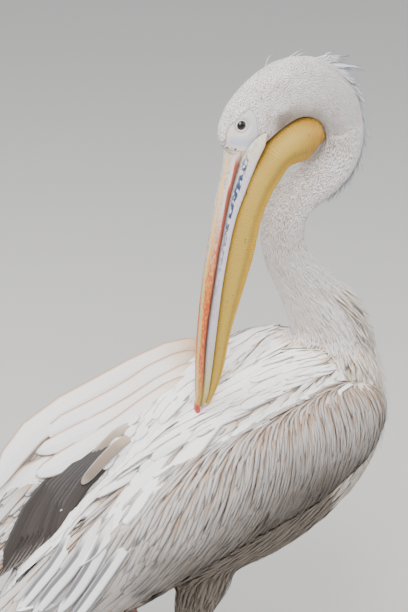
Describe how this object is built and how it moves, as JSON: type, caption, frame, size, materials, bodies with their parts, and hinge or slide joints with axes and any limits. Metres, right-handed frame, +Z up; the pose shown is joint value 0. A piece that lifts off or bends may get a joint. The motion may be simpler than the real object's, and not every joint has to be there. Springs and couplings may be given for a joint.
{
  "type": "great white pelican figure",
  "caption": "Life-size still model of a great white pelican preening on both feet, its head turned back and its long bill resting on its back.",
  "frame": {"origin": "on the floor, under the middle of the whole bird's bounding box", "axes": "+X the way the breast faces, +Y to the bird's left, +Z up"},
  "size_m": [0.7228, 0.3442, 0.9471],
  "materials": {
    "plumage": "soft white feathers with a pinkish cream tint",
    "flight_feathers": "smooth white feathers with grey and black flight feathers",
    "bill_horn": "satin horn, blue-grey ridge, yellow and red flanks",
    "bill_nail": "satin red horn",
    "mandible_horn": "satin horn, lilac-pink with blue-grey flecks",
    "pouch_skin": "soft wrinkled skin, ochre to golden yellow",
    "eye": "wet, very dark brown",
    "leg_skin": "scaly skin, pinkish red",
    "claw": "satin dark horn"
  },
  "bodies": {
    "root": {"trunk": "plumage", "neck_lower": "plumage", "scapulars_left": "plumage", "wing_left": "plumage", "scapulars_right": "plumage", "wing_right": "plumage", "tail": "flight_feathers", "neck_upper": "plumage", "eye_left": "eye", "eye_right": "eye", "head": "plumage", "bill_upper": "bill_horn", "bill_nail": "bill_nail", "bill_lower": "mandible_horn", "pouch": "pouch_skin", "crest": "plumage", "thigh_left": "plumage", "shank_left": "leg_skin", "foot_left": "leg_skin", "claw_left_outer": "claw", "claw_left_middle": "claw", "claw_left_inner": "claw", "claw_left_hind": "claw", "thigh_right": "plumage", "shank_right": "leg_skin", "foot_right": "leg_skin", "claw_right_outer": "claw", "claw_right_middle": "claw", "claw_right_inner": "claw", "claw_right_hind": "claw"}
  },
  "joints": []
}
